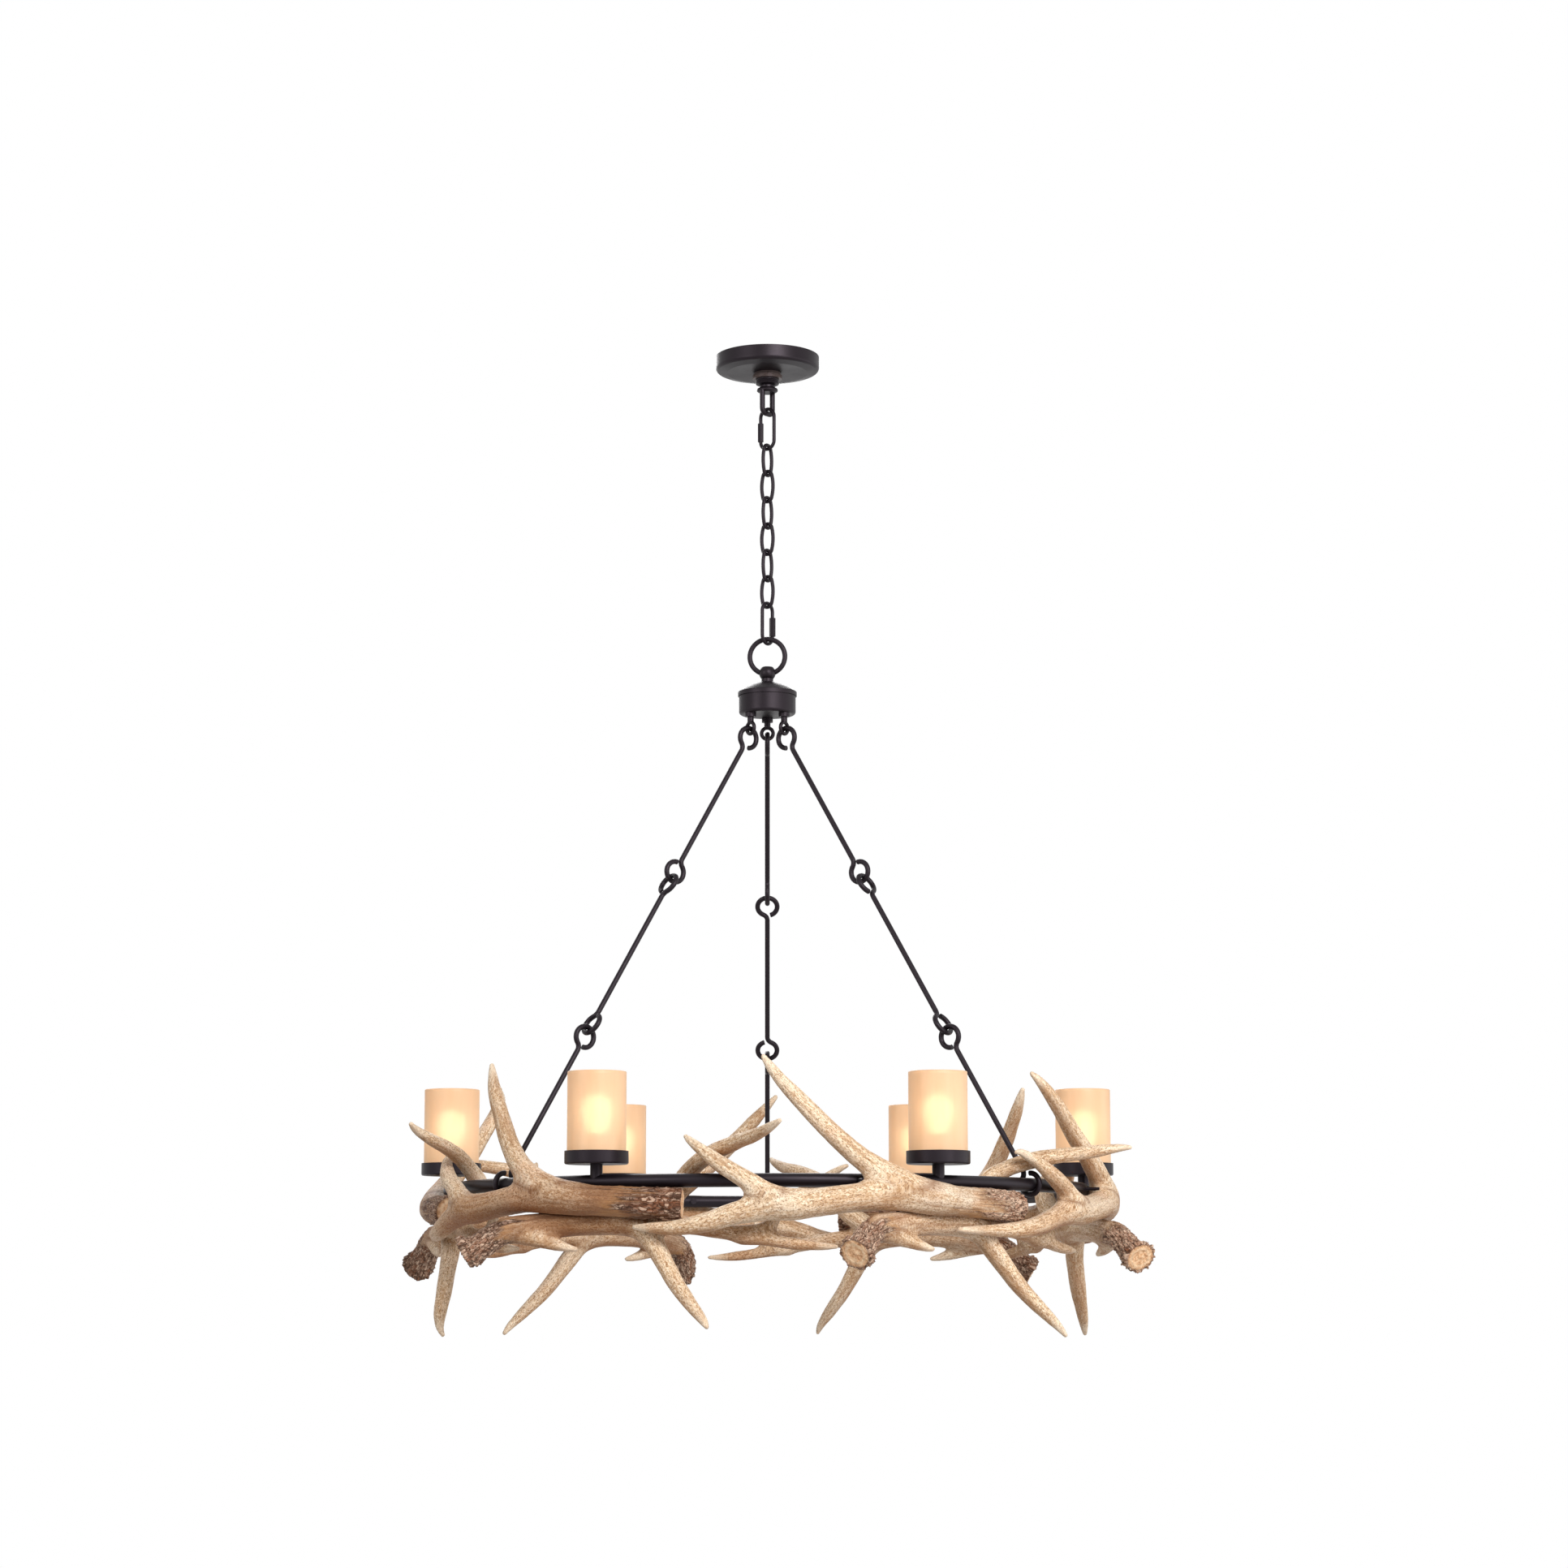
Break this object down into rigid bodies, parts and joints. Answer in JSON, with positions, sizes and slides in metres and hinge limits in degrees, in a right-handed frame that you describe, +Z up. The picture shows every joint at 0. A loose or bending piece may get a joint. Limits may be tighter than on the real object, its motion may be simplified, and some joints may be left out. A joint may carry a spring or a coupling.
{
  "type": "antler chandelier",
  "caption": "Chain-hung chandelier: hooked rods carry a round ring of branching antlers with upright glass candle shades in metal cups.",
  "frame": {"origin": "middle of the ceiling face of the mounting bracket and canopy", "axes": "+Z is up, out of the ceiling face; +X runs along the mounting bracket, to the right seen from the front; -Y is the front"},
  "size_m": [0.9334, 0.9826, 1.2495],
  "materials": {
    "dark_metal": "satin dark bronze powder coat",
    "zinc_steel": "zinc plated",
    "antler": "cast resin antler, hand stained",
    "amber_glass": "frosted amber",
    "socket": "satin",
    "bulb_glass": "opal"
  },
  "bodies": {
    "ceiling_fitting": {"mounting_bracket": "zinc_steel", "hanger_tube": "zinc_steel", "hanger_nuts": "zinc_steel", "collar_loop": "dark_metal"},
    "canopy_pan": {"canopy": "dark_metal"},
    "canopy_nut": {"collar_nut": "dark_metal"},
    "upper_link": {"upper_quick_link": "dark_metal"},
    "upper_sleeve": {"upper_link_sleeve": "dark_metal"},
    "chain_1": {"chain_link_1": "dark_metal"},
    "chain_2": {"chain_link_2": "dark_metal"},
    "chain_3": {"chain_link_3": "dark_metal"},
    "chain_4": {"chain_link_4": "dark_metal"},
    "chain_5": {"chain_link_5": "dark_metal"},
    "chain_6": {"chain_link_6": "dark_metal"},
    "lower_link": {"lower_quick_link": "dark_metal"},
    "lower_sleeve": {"lower_link_sleeve": "dark_metal"},
    "hub": {"hub_loop": "dark_metal", "hub_lid": "dark_metal", "hub_body": "dark_metal", "hub_plate": "zinc_steel", "hub_rod": "zinc_steel", "hub_nuts": "zinc_steel", "hub_eyes": "dark_metal"},
    "strand_left": {"left_rod_upper": "dark_metal", "left_rod_middle": "dark_metal", "left_rod_lower": "dark_metal"},
    "strand_right": {"right_rod_upper": "dark_metal", "right_rod_middle": "dark_metal", "right_rod_lower": "dark_metal"},
    "strand_back": {"back_rod_upper": "dark_metal", "back_rod_middle": "dark_metal", "back_rod_lower": "dark_metal"},
    "antler_ring": {"ring": "dark_metal", "cup_1": "dark_metal", "cup_2": "dark_metal", "cup_3": "dark_metal", "cup_4": "dark_metal", "cup_5": "dark_metal", "cup_6": "dark_metal", "lamp_sockets": "socket", "lamp_bulbs": "bulb_glass", "upper_antler_1": "antler", "upper_antler_2": "antler", "upper_antler_3": "antler", "upper_antler_4": "antler", "upper_antler_5": "antler", "upper_antler_6": "antler", "lower_antler_1": "antler", "lower_antler_2": "antler", "lower_antler_3": "antler", "lower_antler_4": "antler", "lower_antler_5": "antler", "lower_antler_6": "antler", "antler_screws": "dark_metal"},
    "glass_1": {"shade_1": "amber_glass"},
    "glass_2": {"shade_2": "amber_glass"},
    "glass_3": {"shade_3": "amber_glass"},
    "glass_4": {"shade_4": "amber_glass"},
    "glass_5": {"shade_5": "amber_glass"},
    "glass_6": {"shade_6": "amber_glass"}
  },
  "joints": [
    {"name": "canopy_drop", "type": "slide", "parent": "ceiling_fitting", "child": "canopy_pan", "axis": [0, 0, -1], "range_m": [0, 0.009]},
    {"name": "canopy_nut_run", "type": "slide", "parent": "ceiling_fitting", "child": "canopy_nut", "axis": [0, 0, -1], "range_m": [0, 0.009]},
    {"name": "upper_link_swing", "type": "hinge", "parent": "ceiling_fitting", "child": "upper_link", "pos_m": [0, 0, -0.0746], "axis": [0.6018, 0.7986, 0], "range_deg": [-25, 25]},
    {"name": "upper_sleeve_slide", "type": "slide", "parent": "upper_link", "child": "upper_sleeve", "axis": [0, 0, 1], "range_m": [0, 0.0065]},
    {"name": "chain_swing_1", "type": "hinge", "parent": "upper_link", "child": "chain_1", "pos_m": [0, 0, -0.1212], "axis": [0.7986, -0.6018, 0], "range_deg": [-8, 8]},
    {"name": "chain_swing_2", "type": "hinge", "parent": "chain_1", "child": "chain_2", "pos_m": [0, 0, -0.1558], "axis": [0.6018, 0.7986, 0], "range_deg": [-8, 8]},
    {"name": "chain_swing_3", "type": "hinge", "parent": "chain_2", "child": "chain_3", "pos_m": [0, 0, -0.1903], "axis": [0.7986, -0.6018, 0], "range_deg": [-8, 8]},
    {"name": "chain_swing_4", "type": "hinge", "parent": "chain_3", "child": "chain_4", "pos_m": [0, 0, -0.2248], "axis": [0.6018, 0.7986, 0], "range_deg": [-8, 8]},
    {"name": "chain_swing_5", "type": "hinge", "parent": "chain_4", "child": "chain_5", "pos_m": [0, 0, -0.2593], "axis": [0.7986, -0.6018, 0], "range_deg": [-8, 8]},
    {"name": "chain_swing_6", "type": "hinge", "parent": "chain_5", "child": "chain_6", "pos_m": [0, 0, -0.2938], "axis": [0.6018, 0.7986, 0], "range_deg": [-8, 8]},
    {"name": "lower_link_swing", "type": "hinge", "parent": "chain_6", "child": "lower_link", "pos_m": [0, 0, -0.3283], "axis": [0.7986, -0.6018, 0], "range_deg": [-8, 8]},
    {"name": "lower_sleeve_slide", "type": "slide", "parent": "lower_link", "child": "lower_sleeve", "axis": [0, 0, 1], "range_m": [0, 0.0065]},
    {"name": "hub_swing", "type": "hinge", "parent": "lower_link", "child": "hub", "pos_m": [0, 0, -0.3759], "axis": [0.6018, 0.7986, 0], "range_deg": [-8, 8]},
    {"name": "ring_twist", "type": "hinge", "parent": "hub", "child": "antler_ring", "pos_m": [0, 0, -1.07155], "axis": [0, 0, 1], "range_deg": [-3, 3], "stiffness_Nm_per_rad": 1.5},
    {"name": "strand_swing_left", "type": "hinge", "parent": "hub", "child": "strand_left", "pos_m": [-0.02128, -0.01662, -0.495], "axis": [-0.6642, -0.519, 0.538], "range_deg": [-2, 2]},
    {"name": "strand_swing_right", "type": "hinge", "parent": "hub", "child": "strand_right", "pos_m": [0.02128, -0.01662, -0.495], "axis": [0.6642, -0.519, 0.538], "range_deg": [-2, 2]},
    {"name": "strand_swing_back", "type": "hinge", "parent": "hub", "child": "strand_back", "pos_m": [0, 0.027, -0.495], "axis": [0, 0.8429, 0.538], "range_deg": [-2, 2]},
    {"name": "shade_lift_1", "type": "slide", "parent": "antler_ring", "child": "glass_1", "axis": [0, 0, 1], "range_m": [0, 0.1]},
    {"name": "shade_lift_2", "type": "slide", "parent": "antler_ring", "child": "glass_2", "axis": [0, 0, 1], "range_m": [0, 0.1]},
    {"name": "shade_lift_3", "type": "slide", "parent": "antler_ring", "child": "glass_3", "axis": [0, 0, 1], "range_m": [0, 0.1]},
    {"name": "shade_lift_4", "type": "slide", "parent": "antler_ring", "child": "glass_4", "axis": [0, 0, 1], "range_m": [0, 0.1]},
    {"name": "shade_lift_5", "type": "slide", "parent": "antler_ring", "child": "glass_5", "axis": [0, 0, 1], "range_m": [0, 0.1]},
    {"name": "shade_lift_6", "type": "slide", "parent": "antler_ring", "child": "glass_6", "axis": [0, 0, 1], "range_m": [0, 0.1]}
  ],
  "couplings": [
    {"joint": "canopy_nut_run", "follows": "canopy_drop", "ratio": 1},
    {"joint": "strand_swing_left", "follows": "ring_twist", "ratio": 0.5775},
    {"joint": "strand_swing_right", "follows": "ring_twist", "ratio": 0.5775},
    {"joint": "strand_swing_back", "follows": "ring_twist", "ratio": 0.5775}
  ]
}
